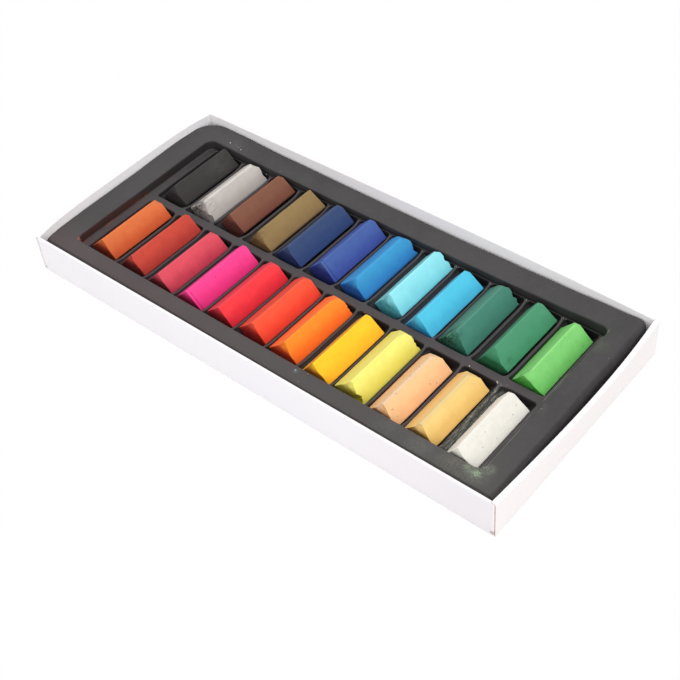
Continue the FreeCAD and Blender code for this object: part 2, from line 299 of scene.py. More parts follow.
def formed_plastic():
    """Charcoal vacuum formed sheet, satin: dust and stains of use, painted light and shade."""
    finish = Finish("charcoal formed sheet")
    x, y, z = (finish.across(axis) for axis in range(3))
    depth, ridge, wall, border = (finish.attribute(key) for key in SHEET_MARKS)
    soft = finish.noise(45.0, 3.0, 0.5, 1.0)
    mottle = finish.noise(420.0, 5.0, 0.6, 2.0)
    grain = finish.noise(5200.0, 2.0, 0.5, 3.0)
    powder = finish.noise(1500.0, 5.0, 0.8, 12.0)
    rubbed_dust_and_sheen = finish.streaks((400.0, 60.0, 400.0), 5.0, 0.7, 15.0)
    behind_front_skirt = y.rise(-47.2, -46.8)
    on_ledge = z.fall(10.8, 11.4)

    # The plain sheet: lighter and warmer in front as a painted reflection, painted light on the
    # ridge tops, painted shade in the cells, where the ridges meet the well's wall and at the
    # deck's edges, and a darker patch on the left ledge
    finish.body = finish.mix(soft.rise(0.3, 0.7), colour(57, 55, 56), colour(66, 64, 64))
    finish.coat(mottle.rise(0.45, 0.75) * 0.35, colour(78, 75, 74))
    # Painted reflection: the deck lighter and warmer towards the front
    front_reflection_tone = finish.mix(x.fall(-60.0, 40.0), colour(84, 80, 78), colour(90, 75, 77))
    finish.coat(y.fall(-50.0, -24.0) * 0.6, front_reflection_tone)
    # Painted light on the ridge tops, fading down into the cells
    finish.coat(ridge * 0.75, colour(70, 63, 66))
    # Painted shade at both ends of the cells, where the ridges meet the foot of the well's wall
    finish.coat(abs(y).rise(38.2, 38.7) * on_ledge * 0.95, colour(26, 24, 25))
    left_ledge = x.rise(-101.2, -100.8) * x.fall(-98.6, -98.2) * y.rise(14.0, 28.0)
    finish.coat(left_ledge * on_ledge * 0.6, colour(40, 37, 38))
    # Painted shade in the cells and on the well's walls
    finish.coat((depth * 0.75 + wall * 0.55).least(1.0), colour(24, 22, 24))
    # Painted shade on the deck's rounded outer edge and its skirt
    finish.coat(border * 0.8, colour(26, 20, 21))
    # Painted shadow of the right wall, near black, on the deck's drooping right edge
    finish.coat((x + (soft - 0.5) * 2.4).rise(109.2, 110.1) * 0.85, colour(22, 20, 21))
    # A thin painted shadow of the front wall along the deck's front edge
    finish.coat(y.fall(-47.05, -46.5) * 0.8, colour(36, 22, 23))
    dusty = finish.streaks((260.0, 420.0, 700.0), 4.0, 0.65, 5.0).rise(0.6, 0.82)
    lines = finish.noise(160.0, 4.0, 0.7, 6.0).rise(0.52, 0.72)
    finish.coat(dusty * lines * 0.22, colour(150, 143, 138))

    # Rust red streak at the foot of the wall on the left, and its spot in the corner
    patchy = finish.streaks((700.0, 110.0, 700.0), 4.0, 0.6, 9.0)
    streak = x.rise(-103.0, -102.4) * x.fall(-100.9, -100.2) * y.fall(6.0, 18.0)
    streak = streak * z.fall(12.4, 13.2) * behind_front_skirt
    finish.coat(streak * patchy.rise(0.4, 0.56) * 0.7, colour(70, 36, 30))
    finish.coat(streak * patchy.rise(0.5, 0.62) * z.fall(10.7, 11.1) * 0.7, colour(126, 70, 48))
    corner_spot = distance(x, y, -100.6, -38.6).fall(0.4, 1.5)
    finish.coat(corner_spot * powder.rise(0.36, 0.5) * 0.8, colour(168, 104, 76))

    haze = finish.noise(260.0, 4.0, 0.7, 13.0).rise(0.36, 0.7)
    cloud = haze * 0.55 + powder.rise(0.42, 0.62) * 0.75
    for (at_x, at_y, reach), tone, strength in POWDER_SPOTS:
        near = distance(x, y, at_x, at_y).fall(0.0, reach)
        finish.coat((near * cloud).least(1.0) * behind_front_skirt * strength, colour(*tone))

    # Pale lines along the right edge of the well, on its lip and ledge: partly painted
    # highlights, partly rubbed dust in streaks
    lip = x.rise(99.4, 99.65) * x.fall(100.0, 100.3)
    ledge = x.rise(97.1, 97.35) * x.fall(97.5, 97.85)
    side = abs(y).fall(38.0, 39.5) * rubbed_dust_and_sheen.rise(0.42, 0.62)
    finish.coat((lip + ledge) * side * 0.5, colour(138, 140, 130))

    # White dust beside the white stick, and grey dust in the cells near it
    trail = x.rise(78.2, 79.8) * x.fall(83.2, 85.4) * y.fall(-3.5, -0.5)
    trail = trail * z.fall(10.6, 11.1) * behind_front_skirt
    finish.coat(trail * 0.4, colour(54, 60, 53))
    strands = finish.streaks((1900.0, 170.0, 1900.0), 4.0, 0.7, 16.0).rise(0.42, 0.62)
    fine = powder.rise(0.42, 0.58) * rubbed_dust_and_sheen.rise(0.3, 0.56)
    finish.coat(trail * fine * strands * 0.9, colour(168, 170, 160))
    grey = x.rise(60.0, 85.0) * depth * abs(y + 20.0).fall(18.0, 20.0)
    finish.coat(grey * powder.rise(0.52, 0.66) * 0.25, colour(120, 120, 108))
    flecks = finish.specks(420.0, 0.12, 0.035, 19.0)
    finish.coat(flecks * 0.45, colour(176, 172, 166))
    relief = soft * 1.6 + mottle * 0.2 + grain * 0.05 + flecks * 0.3
    return finish.surface({
        "Roughness": 0.46 + mottle * 0.16,
        "Specular IOR Level": 0.4,
        "Normal": finish.bump(relief, 0.35, 0.0005),
    })


def lined_card():
    """White lined board: faint waves, smudges, grey and brown cut ends, painted light and shade.
    """
    finish = Finish("white lined card")
    x, y, z = (finish.across(axis) for axis in range(3))
    normal = finish.node("ShaderNodeNewGeometry", {}, {}, "True Normal")
    facing_x, facing_y = (
        finish.node("ShaderNodeSeparateXYZ", {}, {0: normal}, axis) for axis in range(2))
    waves = finish.noise(22.0, 2.0, 0.5, 1.0)
    fibre = finish.noise(2600.0, 4.0, 0.6, 2.0)
    smears = finish.streaks((120.0, 120.0, 260.0), 4.0, 0.6, 4.0)
    finish.body = finish.mix(waves.rise(0.3, 0.7), colour(238, 236, 240), colour(241, 238, 241))
    # Painted shade on the outer front face, darker towards its right end
    painted_shade_right_front = x.rise(20.0, 130.0) * y.fall(-50.9, -50.86)
    finish.coat(painted_shade_right_front * 0.8, colour(229, 223, 226))
    finish.coat(smears.rise(0.62, 0.85) * 0.5, colour(226, 222, 224))
    finish.coat(finish.specks(160.0, 0.07, 0.12, 6.0) * 0.5, colour(170, 166, 165))
    # Painted light: the inner faces of the walls lighter
    painted_light_inner_faces = (facing_y * y).fall(-30.0, -20.0).most((facing_x * x).fall(-70.0, -50.0))
    finish.coat(painted_light_inner_faces, colour(255, 253, 255))
    # Painted light: the outer right side in its own lighter, pinker tone
    painted_light_right_side = (facing_x * x).rise(70.0, 100.0) * x.rise(0.0, 1.0)
    finish.coat(painted_light_right_side, colour(246, 241, 240))
    cut_ends = abs(facing_y).rise(0.9, 0.97) * abs(x).rise(111.2, 111.6) * z.rise(0.3, 0.42)
    cut_ends = cut_ends * abs(y).rise(50.7, 50.8) * abs(y).fall(50.88, 50.94)
    finish.coat(cut_ends, finish.mix(x.rise(-1.0, 1.0), colour(210, 205, 203),
                                     colour(188, 160, 146)))
    # Painted highlight along the tops of the walls
    finish.coat(z.rise(16.2, 16.9) * 0.35, colour(253, 251, 251))
    return finish.surface({
        "Roughness": 0.5 + fibre * 0.12,
        "Specular IOR Level": 0.35,
        "Normal": finish.bump(waves * 2.4 + smears * 0.3 + fibre * 0.03, 0.25, 0.0006),
    })


# Sculpting

# A pastel's marks; cut_end and left_face place its painted shade
MARKS = ("worn", "broken", "smudge", "cut_end", "left_face")
# The sheet's marks place its painted light and shade: cells, ridge tops, well walls, border
SHEET_MARKS = ("depth", "ridge", "wall", "border")


def clamp(value, low=0.0, high=1.0):
    return max(low, min(high, value))


def ripple(point, size, seed):
    """Soft seeded noise from -1 to 1 at a point in millimetres."""
    return noise.noise(Vector(point) / size + Vector((seed * 7.3, seed * 3.1, seed * 5.7)))


def crowded(reach, steps, edge):
    """Places from -reach to reach that crowd together near both ends."""
    places = []
    for index in range(steps + 1):
        t = 2 * index / steps - 1
        places.append(reach * math.copysign(1 - (1 - abs(t)) ** edge, t))
    return places


def box_skin(mesh, xs, ys, zs):
    """Grid on the six sides of a box, with shared edges."""
    spots = {}

    def spot(i, j, k):
        if (i, j, k) not in spots:
            spots[i, j, k] = mesh.verts.new((xs[i], ys[j], zs[k]))
        return spots[i, j, k]

    sizes = (len(xs) - 1, len(ys) - 1, len(zs) - 1)
    for axis in range(3):
        one, two = (axis + 1) % 3, (axis + 2) % 3
        for level in (0, sizes[axis]):
            for a in range(sizes[one]):
                for b in range(sizes[two]):
                    ring = []
                    for da, db in ((0, 0), (1, 0), (1, 1), (0, 1)):
                        where = [0, 0, 0]
                        where[axis], where[one], where[two] = level, a + da, b + db
                        ring.append(spot(*where))
                    mesh.faces.new(ring if level else ring[::-1])


def rounded(point, half, half_length, radius):
    """A point of the plain box moved on to the box with rounded edges."""
    inner = Vector((
        clamp(point.x, -half + radius, half - radius),
        clamp(point.y, -half_length + radius, half_length - radius),
        clamp(point.z, -half + radius, half - radius)))
    out = point - inner
    return inner + out * (radius / out.length) if out.length > 0 else point.copy()


def along_line(points, at):
    """Height of a smooth line through (place, height) points."""
    for (x0, h0), (x1, h1) in zip(points, points[1:]):
        if at <= x1:
            t = clamp((at - x0) / (x1 - x0))
            t = t * t * (3 - 2 * t)
            return h0 + (h1 - h0) * t
    return points[-1][1]


def place_piece(mesh, mesh_name, name, material, smooth):
    """A sculpted mesh as an object of the scene."""
    data = bpy.data.meshes.new(mesh_name)
    mesh.to_mesh(data)
    mesh.free()
    for polygon in data.polygons:
        polygon.use_smooth = smooth
    data.materials.append(material)
    piece = bpy.data.objects.new(name, data)
    bpy.context.scene.collection.objects.link(piece)
    return piece


# The formed sheet, in millimetres: middle along x, tops of the ridges and of the deck,
# foot of the skirt, and the thickness of the sheet
SHEET_MIDDLE = -1.15
RIDGE_TOP = 10.2
DECK_TOP = 13.9
SKIRT_FOOT = 0.4
SHEET = 0.45
WELL_HALF = (100.4, 39.2)
DECK_HALF = (111.45, 49.79)
# Corners in the order back right, back left, front left, front right
WELL_CORNERS = (3.0, 3.0, 3.0, 3.0)
DECK_CORNERS = (4.6, 10.0, 6.5, 7.0)
# How far the well's upper edge grows to the deck, the radius of the deck's outer edge,
# and how far the skirt leans in
WELL_EDGE_GROWTH = 1.15
DECK_EDGE = 1.3
SKIRT_LEAN = 1.25
# The well's wall from its foot up: (growth, height)
WELL_WALL = ((0.0, 10.2), (0.06, 10.24), (0.12, 10.4), (0.2, 11.2), (0.36, 12.4),
             (0.46, 13.2), (0.58, 13.6), (0.8, 13.83), (1.15, 13.9))
# Steps round a corner, along a side in x and along a side in y, of a big ring and of a
# cell's ring
SHEET_STEPS = (9, 96, 40)
CELL_STEPS = (7, 3, 16)

# Cells, in two rows: how far their near and far ends lie from the middle. The ridges
# between them sag away from their ends, over the run, and less towards the foot. The
# left columns drift to the right of an even pitch, less and less up to the last one.
# The painted shade in the cells deepens from the ridges' tops down over the depth fade.
COLUMNS = 12
COLUMN_PITCH = 16.35
CELL_NEAR, CELL_FAR = 1.9, 38.85
RIDGE_SAG = 1.25
SAG_RUN = 5.0
SAG_FOOT, SAG_RISE = 8.0, 2.2
DEPTH_FADE = 1.2
DRIFT = 0.75
LAST_DRIFTING = 9
# One cell from its lip down: (height, half width, growth of its length, corner)
CELL_RINGS = (
    (10.2, 8.02, 0.36, 1.7), (10.17, 7.86, 0.22, 1.6), (10.06, 7.7, 0.1, 1.45),
    (9.84, 7.6, 0.03, 1.35), (9.3, 7.47, -0.02, 1.2), (8.8, 7.36, -0.06, 1.05),
    (8.5, 7.25, -0.08, 0.95), (8.2, 6.95, -0.1, 0.9), (6.6, 5.35, -0.15, 0.8),
    (4.8, 3.55, -0.22, 0.7), (3.0, 1.75, -0.28, 0.6), (2.1, 0.85, -0.33, 0.5),
    (1.66, 0.3, -0.35, 0.25))

# How the deck stands over or under its flat height along the back and the front
# border, and how far its left edge reaches out: (place, millimetres)
BACK_LIFT = ((-112, 0.3), (-96, 0.5), (-65, -0.5), (-28, -0.9), (22, -0.9), (52, -0.4),
             (72, 0.2), (96, 1.2), (110, 1.9))
FRONT_LIFT = ((-112, 0.1), (-60, -0.2), (0, -0.5), (60, -0.3), (110, 0.0))
LEFT_REACH = ((-49, 0.0), (-44, 0.3), (-38, 0.8), (0, 0.9), (30, 1.4), (40, 0.8), (49, 0.1))
LEFT_REACH_FROM, LEFT_REACH_RUN = -102.5, 9.5
# The crease where the right edge starts to droop, and how steep it droops
CREASE = 107.9
DROOP = 1.35


def settle(point):
    """Where a point of the flat formed sheet lies in the used box."""
    x, y, z = point
    height = clamp((z - RIDGE_TOP) / (DECK_TOP - RIDGE_TOP))
    back = clamp((y + 45) / 90)
    lift = along_line(FRONT_LIFT, x) * (1 - back) + along_line(BACK_LIFT, x) * back
    lift += 0.12 * ripple((x, y, 0), 24.0, 4) + 0.03 * ripple((x, y, 0), 6.0, 9)
    left = clamp((LEFT_REACH_FROM - x) / LEFT_REACH_RUN)
    x -= along_line(LEFT_REACH, y) * left * height
    droop = max(0.0, x - (CREASE + 0.5 * ripple((0, y, 0), 21.0, 6))) * DROOP
    droop *= 1 - 0.6 * clamp((y - 38) / 11)
    sway = 0.1 * ripple((x * 0.2, y, 2), 14.0, 12) * (1 if z > 8 else 0)
    return x + sway, y, z + (lift - droop) * height


def loop(half_x, half_y, corners, z, centre, steps):
    """Points round a rectangle with rounded corners, anticlockwise from its right side."""
    bend, run_x, run_y = steps
    points = []
    signs = ((1, 1), (-1, 1), (-1, -1), (1, -1))
    radii = [min(corner, half_x * 0.96, half_y * 0.96) for corner in corners]
    for index, (side_x, side_y) in enumerate(signs):
        radius, next_radius = radii[index], radii[(index + 1) % 4]
        middle = (side_x * (half_x - radius), side_y * (half_y - radius))
        for step in range(bend + 1):
            turn = math.pi / 2 * (index + step / bend)
            points.append((middle[0] + radius * math.cos(turn),
                           middle[1] + radius * math.sin(turn)))
        next_x, next_y = signs[(index + 1) % 4]
        start = points[-1]
        if side_x != next_x:
            end, runs = (next_x * (half_x - next_radius), start[1]), run_x
        else:
            end, runs = (start[0], next_y * (half_y - next_radius)), run_y
        for step in range(1, runs):
            t = step / runs
            points.append((start[0] + (end[0] - start[0]) * t,
                           start[1] + (end[1] - start[1]) * t))
    return [Vector((centre[0] + x, centre[1] + y, z)) for x, y in points]


def skin(mesh, rings, layers, marks, first=None):
    """Quads between loops of points; each loop carries its marks. Gives the last loop."""
    before = first
    for ring, values in zip(rings, marks):
        here = []
        for point in ring:
            vertex = mesh.verts.new(point)
            for key, value in zip(SHEET_MARKS, values):
                vertex[layers[key]] = value
            here.append(vertex)
        if before:
            for i in range(len(here)):
                j = (i + 1) % len(here)
                mesh.faces.new((before[i], here[i], here[j], before[j]))
        before = here
    return before


def drift(column):
    """How far one column of cells sits to the right of an even pitch."""
    return DRIFT * (1 - min(1.0, column / LAST_DRIFTING) ** 2)


def cell_rings(column, side):
    """One cell's rings and marks, with the ridges round it sagging between their ends."""
    centre_x = SHEET_MIDDLE + (column - (COLUMNS - 1) / 2) * COLUMN_PITCH + drift(column)
    rings, marks = [], []
    for z, half_x, growth, corner in CELL_RINGS:
        low, high = CELL_NEAR - growth, CELL_FAR + growth * (0.4 if growth > 0 else 1)
        ring = loop(half_x, (high - low) / 2, (corner,) * 4, z,
                    (centre_x, side * (low + high) / 2), CELL_STEPS)
        for point in ring:
            at_left_wall = column == 0 and point.x < centre_x
            at_right_wall = column == COLUMNS - 1 and point.x > centre_x
            if not (at_left_wall or at_right_wall):
                t = clamp(min(abs(point.y) - CELL_NEAR, CELL_FAR - abs(point.y)) / SAG_RUN)
                point.z -= RIDGE_SAG * t * t * (3 - 2 * t) * clamp((z - SAG_FOOT) / SAG_RISE)
        rings.append(ring)
        depth = clamp((RIDGE_TOP - z) / DEPTH_FADE)
        marks.append((depth, 1.0 - depth, 0.0, 0.0))
    return rings, marks


def land(mesh, foot, lips):
    """The flat tops of the ridges and ribs, between the foot of the well and the cells."""
    rims = [foot] + lips
    corners = [vertex for rim in rims for vertex in rim]
    places = [Vector((vertex.co.x, vertex.co.y)) for vertex in corners]
    edges, start = [], 0
    for rim in rims:
        edges += [(start + i, start + (i + 1) % len(rim)) for i in range(len(rim))]
        start += len(rim)
    spots, _, faces, origins, _, _ = geometry.delaunay_2d_cdt(places, edges, [], 0, 1e-6)
    owners = [index for index, rim in enumerate(rims) for _ in rim]
    for face in faces:
        first = [origins[i][0] for i in face]
        rim = {owners[i] for i in first}
        if len(rim) == 1:
            middle = sum((spots[i] for i in face), Vector((0, 0))) / 3
            beyond_well = (abs(middle.y) > WELL_HALF[1]
                           or abs(middle.x - SHEET_MIDDLE) > WELL_HALF[0])
            if rim != {0} or beyond_well:
                continue
        mesh.faces.new([corners[i] for i in first])


def sheet_rings():
    """The big rings from the foot of the well's wall over the deck to the skirt's foot."""
    rings, marks = [], []

    def add(grow, z, corners, wall=0.0, border=0.0):
        rings.append(loop(WELL_HALF[0] + grow, WELL_HALF[1] + grow, corners, z,
                          (SHEET_MIDDLE, 0), SHEET_STEPS))
        marks.append((0.0, 0.0, wall, border))

    for grow, z in WELL_WALL:
        add(grow, z, [corner + grow for corner in WELL_CORNERS],
            wall=1.0 if 10.3 < z < 13.4 else 0.0)
    flat = DECK_HALF[0] - DECK_EDGE - WELL_HALF[0]
    for share in (0.24, 0.38, 0.52, 0.64, 0.74, 0.82, 0.88, 0.94, 1.0):
        add(flat * share, DECK_TOP,
            [a + WELL_EDGE_GROWTH + (b - DECK_EDGE - a - WELL_EDGE_GROWTH) * share
             for a, b in zip(WELL_CORNERS, DECK_CORNERS)])
    edge = DECK_HALF[0] - WELL_HALF[0]
    for turn in (22, 45, 68, 90):
        out = DECK_EDGE * math.sin(math.radians(turn))
        drop = DECK_EDGE * (1 - math.cos(math.radians(turn)))
        add(edge - DECK_EDGE + out, DECK_TOP - drop,
            [corner - DECK_EDGE + out for corner in DECK_CORNERS], border=turn / 90)
    for share in (0.25, 0.5, 0.75, 1.0):
        fall = (DECK_TOP - DECK_EDGE - SKIRT_FOOT) * share
        add(edge - SKIRT_LEAN * share, DECK_TOP - DECK_EDGE - fall,
            [corner - SKIRT_LEAN * share for corner in DECK_CORNERS], border=1.0)
    return rings, marks


def formed_insert():
    """The formed sheet as it lies in the box: bowed deck, soft turned-down right edge."""
    mesh = bmesh.new()
    layers = {key: mesh.verts.layers.float.new(key) for key in SHEET_MARKS}
    rings, marks = sheet_rings()
    foot = skin(mesh, rings[:1], layers, marks[:1])
    skin(mesh, rings[1:], layers, marks[1:], foot)
    lips = []
    for side in (1, -1):
        for column in range(COLUMNS):
            rings, marks = cell_rings(column, side)
            lip = skin(mesh, rings[:1], layers, marks[:1])
            root = skin(mesh, rings[1:], layers, marks[1:], lip)
            mesh.faces.new(root)
            lips.append(lip)
    land(mesh, foot, lips)
    bmesh.ops.recalc_face_normals(mesh, faces=mesh.faces)
    if sum(face.normal.z * face.calc_area() for face in mesh.faces) < 0:
        bmesh.ops.reverse_faces(mesh, faces=mesh.faces)
    for vertex in mesh.verts:
        vertex.co = Vector(settle(vertex.co)) * MM
    piece = place_piece(mesh, "formed insert", "insert_in_place", formed_plastic(), True)
    sheet = piece.modifiers.new("sheet thickness", "SOLIDIFY")
    sheet.thickness = SHEET * MM
    sheet.offset = -1.0
    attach(piece, "formed_insert")
    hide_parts("insert")


# A pastel, in millimetres: half its side, half its diagonal, what the rounded edge takes
# off that, the room that the ends keep for their raggedness, and half the width of a
# ring cut round it. Edges over the angle, in degrees, stay sharp.
HALF_SIDE = 5.0
HALF_DIAGONAL = 7.07
EDGE_LOSS = 0.33
END_ROOM = 0.15
RING_HALF = 0.14
SHARP_ANGLE = 24


class Stick:
    """One pastel: where it lies, how it is worn and how its ends broke.

    number counts the sticks from 1, the front row first, and seeds the stick's noise.
    roll is in degrees, shift in millimetres to the right and to the back.
    near and far are breaks: (depth along the stick, drop from the ridge, slant).
    rough is how ragged the near and the far end are.
    chips are bites out of the ends: (side, across, height, size, depth).
    smudges are (place, size, power), scores (start, end, width, depth), bands of wear
    (middle across, width, power) and rings round the stick (place along it, depth).
    left and low are painted shade tones: of the left faces, and of the faces low down
    towards the table, which also gives the cut ends their painted shade.
    """

    def __init__(self, name, number, roll=0.0, shift=(0.0, 0.0), near=(), far=(),
                 rough=(1.0, 1.0), edge=0.4, ridge_wear=0.22, chips=(), smudges=(), scores=(),
                 bands=(), rings=(), dirt_share=0.01, pits_share=0.0, dirt=(90, 84, 80),
                 ridge=None, left=None, low=None):
        self.name, self.number = name, number
        self.roll, self.shift = math.radians(roll), shift
        self.near, self.far, self.rough, self.edge = near, far, rough, edge
        self.ridge_wear, self.chips, self.smudges = ridge_wear, chips, smudges
        self.scores, self.bands, self.rings = scores, bands, rings
        self.dirt_share, self.pits_share = dirt_share, pits_share
        self.dirt, self.ridge, self.left, self.low = dirt, ridge, left, low

    def ends(self, side):
        return self.far if side > 0 else self.near

    def raggedness(self, side, along, height):
        rough = 0.15 * ripple((along, side * 9, height), 2.2, self.number)
        rough += 0.09 * ripple((along, side * 9, height), 0.8, self.number + 2)
        return rough * self.rough[1 if side > 0 else 0]

    def end_line(self, side, along, height, half_length):
        """How far the stick reaches at one end, for a place across its section."""
        reach = half_length
        for depth, drop, tilt in self.ends(side):
            if depth < drop:
                share = (HALF_DIAGONAL - height + tilt * along) / drop
                reach = min(reach, half_length - depth * (1 - share))
        for which, across, up, size, depth in self.chips:
            if which == side:
                gap = math.hypot(along - across, height - up) / size
                if gap < 1:
                    bite = depth * (1 - gap * gap)
                    reach -= bite * (1 + 0.5 * ripple((along, height, side), 0.9,
                                                      self.number + 6))
        return reach - END_ROOM + self.raggedness(side, along, height)

    def slope_over(self, side, along, place, half_length):
        """Height of the slanted breaks over one place, or None where there are none."""
        lowest = None
        for depth, drop, tilt in self.ends(side):
            if depth >= drop:
                fall = drop * (1 - (half_length - abs(place)) / depth)
                if fall > 0:
                    top = HALF_DIAGONAL + tilt * along - fall
                    top += 0.6 * self.raggedness(side, along, place)
                    lowest = top if lowest is None else min(lowest, top)
        return lowest

    def break_end(self, p, along, height, half_length, marks):
        """Cuts a point back to the broken end. Moves p along the stick, gives the height."""
        side = 1 if p.y > 0 else -1
        limit = self.end_line(side, along, height, half_length)
        tip = abs(p.y) - limit
        if tip > 0:
            marks["broken"] = min(1.0, tip / 0.5)
            p.y = side * (limit + tip * 0.04)
        top = self.slope_over(side, along, p.y, half_length)
        if top is not None and height > top:
            marks["broken"] = max(marks["broken"], min(1.0, (height - top) / 0.25))
            height = top + (height - top) * 0.02
        return height

    def wear_ridge(self, p, height, marks):
        """Rubs the upper edge flat."""
        wear = self.ridge_wear * (1 + 0.35 * ripple((0, p.y, 0), 5.0, self.number))
        cut = HALF_DIAGONAL - wear
        if height > cut - 0.35:
            marks["worn"] = min(1.0, (height - cut + 0.35) / 0.35)
        return cut + (height - cut) * 0.12 if height > cut else height

    def scratch(self, p, x, z, marks):
        """Scores, rings and bands of wear. Gives the place across the section."""
        for start, end, width, depth in self.scores:
            run = Vector(end) - Vector(start)
            off = Vector((x, p.y, z)) - Vector(start)
            gap = (off - run * clamp(off.dot(run) / run.length_squared)).length
            if gap < width:
                z -= depth * (1 - gap / width)
                marks["smudge"] = max(marks["smudge"], 1.2 * (1 - gap / width))
        for place, depth in self.rings:
            if abs(p.y - place) < 0.02:
                x, z = x * (1 - depth / 7), z - depth * (1 if z > 0 else 0)
                marks["smudge"] = 1.5
        for middle, width, power in self.bands:
            band = power * max(0.0, 1 - abs(x - middle) / width) * (1 if z > 0 else 0)
            marks["worn"] = max(marks["worn"], band)
        return x, z

    def sculpt(self, point, half_length):
        """The worn and rolled place of one point of the bar, with its marks."""
        p = rounded(point, HALF_SIDE, half_length, self.edge)
        marks = dict.fromkeys(MARKS, 0.0)
        x, z = (p.x - p.z) * ROOT_HALF, (p.x + p.z) * ROOT_HALF
        z = self.break_end(p, x, z, half_length, marks)
        z = self.wear_ridge(p, z, marks)
        x, z = self.scratch(p, x, z, marks)
        marks["left_face"] = clamp((-x - 0.25) / 0.3) * clamp(z + 1)
        sine, cosine = math.sin(self.roll), math.cos(self.roll)
        x, z = x * cosine + z * sine, z * cosine - x * sine
        wave = 0.06 * ripple((x, p.y * 0.4, z), 3.0, self.number + 8)
        wave += 0.03 * ripple((x, p.y, z), 0.9, self.number + 9)
        scale = 1 + wave / HALF_SIDE
        for at, size, power in self.smudges:
            gap = (Vector((x, p.y, z)) - Vector(at)).length
            marks["smudge"] = max(marks["smudge"], power * max(0.0, 1 - gap / size))
        return (x * scale, p.y, z * scale), marks

    def tones(self):
        """Tones of its faces, dirt and ridge, and the painted shade of left and low faces."""
        tone = colour(*COLOURS[self.name])
        return {"face": tone, "dirt": colour(*self.dirt),
                "ridge": colour(*self.ridge) if self.ridge else shade(tone, 1.04),
                "left": colour(*self.left) if self.left else shade(tone, 0.96),
                "low": colour(*self.low) if self.low else painted_shade_tone(tone, 0.6)}


def build_stick(stick, body):
    low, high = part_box("pastel_" + stick.name)
    centre = (low + high) / 2
    half_length = (high.y - low.y) / 2 / MM
    foot = low.z / MM
    top = foot + (high.z - low.z) / MM - 0.01
    right = stick.shift[0] + drift((stick.number - 1) % COLUMNS)
    mesh = bmesh.new()
    section = crowded(HALF_SIDE, 22, 1.6)
    run = crowded(half_length, 84, 1.7)
    for place, _ in stick.rings:
        run = [spot for spot in run if abs(spot - place) > RING_HALF]
        run = sorted(run + [place - RING_HALF, place, place + RING_HALF])
    box_skin(mesh, section, run, section)
    layers = {key: mesh.verts.layers.float.new(key) for key in MARKS}
    for vertex in mesh.verts:
        at_end = abs(abs(vertex.co.y) - half_length) < 0.01
        place, marks = stick.sculpt(vertex.co, half_length)
        marks["cut_end"] = 1.0 if at_end else 0.0
        for key, value in marks.items():
            vertex[layers[key]] = value
        height = clamp(place[2] + HALF_DIAGONAL - EDGE_LOSS + foot, foot, top)
        vertex.co = Vector((centre.x + (place[0] + right) * MM,
                            centre.y + (place[1] + stick.shift[1]) * MM, height * MM))
    mesh.normal_update()
    material = chalk(stick.name + " chalk", stick.tones(), stick.number * 13.0,
                     stick.dirt_share, stick.pits_share)
    piece = place_piece(mesh, "pastel " + stick.name, "stick_of_" + stick.name, material, True)
    piece.data.set_sharp_from_angle(angle=math.radians(SHARP_ANGLE))
    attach(piece, body)
    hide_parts("pastel_" + stick.name)


def crumbs(name, tone, spots, size, seed):
    """Loose crumbs of chalk lying on the insert."""
    rng = random.Random(seed)
    mesh = bmesh.new()
    for spot in spots:
        rest = Vector(settle(spot))
        radius = size * rng.uniform(0.6, 1.35)
        made = bmesh.ops.create_icosphere(mesh, subdivisions=1, radius=radius)
        spin = Matrix.Rotation(rng.uniform(0, 6.28), 3, Vector((rng.random(), rng.random(), 1)))
        for vertex in made["verts"]:
            swell = 1 + 0.45 * ripple(vertex.co, 0.5, seed + radius)
            off = spin @ (vertex.co * swell)
            vertex.co = (rest + Vector((off.x, off.y, radius * 0.6 + off.z * 0.72))) * MM
    tones = {"face": tone, "dirt": shade(tone, 0.5), "ridge": tone, "left": tone, "low": tone}
    material = chalk(name + " crumbs", tones, seed, 0.0, 0.0)
    piece = place_piece(mesh, name, name, material, False)
    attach(piece, "formed_insert")


# Pastels, from the left end to the right end of each row

